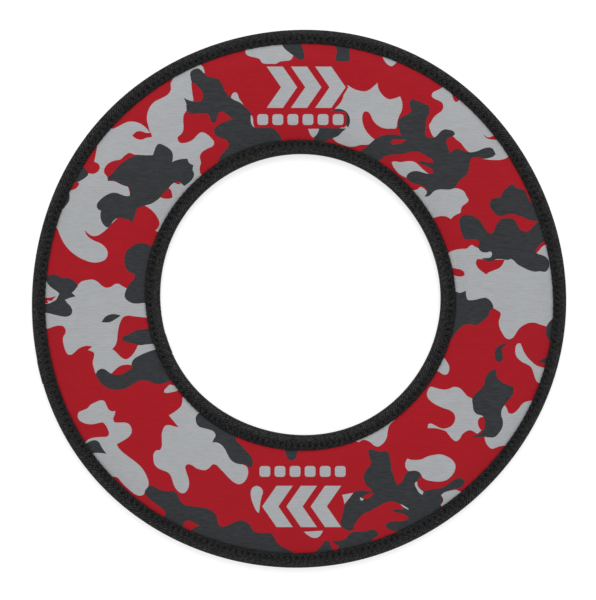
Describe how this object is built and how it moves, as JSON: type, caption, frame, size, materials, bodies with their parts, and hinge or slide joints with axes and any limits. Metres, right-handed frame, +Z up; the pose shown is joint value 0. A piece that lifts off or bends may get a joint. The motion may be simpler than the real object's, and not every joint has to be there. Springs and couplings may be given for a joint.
{
  "type": "soft flying ring",
  "caption": "Flat padded throwing ring of printed knit over foam, with folded tape stitched round its rim and its hole.",
  "frame": {"origin": "on the ring's axis, at the height of the ground it lies on", "axes": "+Z up along the ring's axis, out of the face seen from above; +X and +Y lie in the ring's plane"},
  "size_m": [0.3, 0.3, 0.0101],
  "materials": {
    "printed_jersey": "matt knit, printed with red, light grey and charcoal camouflage patches",
    "neoprene_foam": "matt closed-cell foam",
    "lining_jersey": "matt knit",
    "core_foam": "closed-cell foam with a fine skin",
    "binding_tape": "woven tape with a slight sheen",
    "thread": "twisted bonded thread"
  },
  "bodies": {
    "root": {"core_foam_ring": "core_foam", "top_lining_jersey": "lining_jersey", "top_neoprene_foam": "neoprene_foam", "top_print_jersey": "printed_jersey", "bottom_lining_jersey": "lining_jersey", "bottom_neoprene_foam": "neoprene_foam", "bottom_print_jersey": "printed_jersey", "outer_binding_tape": "binding_tape", "inner_binding_tape": "binding_tape", "outer_needle_thread": "thread", "inner_needle_thread": "thread", "outer_bobbin_thread": "thread", "inner_bobbin_thread": "thread"}
  },
  "joints": []
}
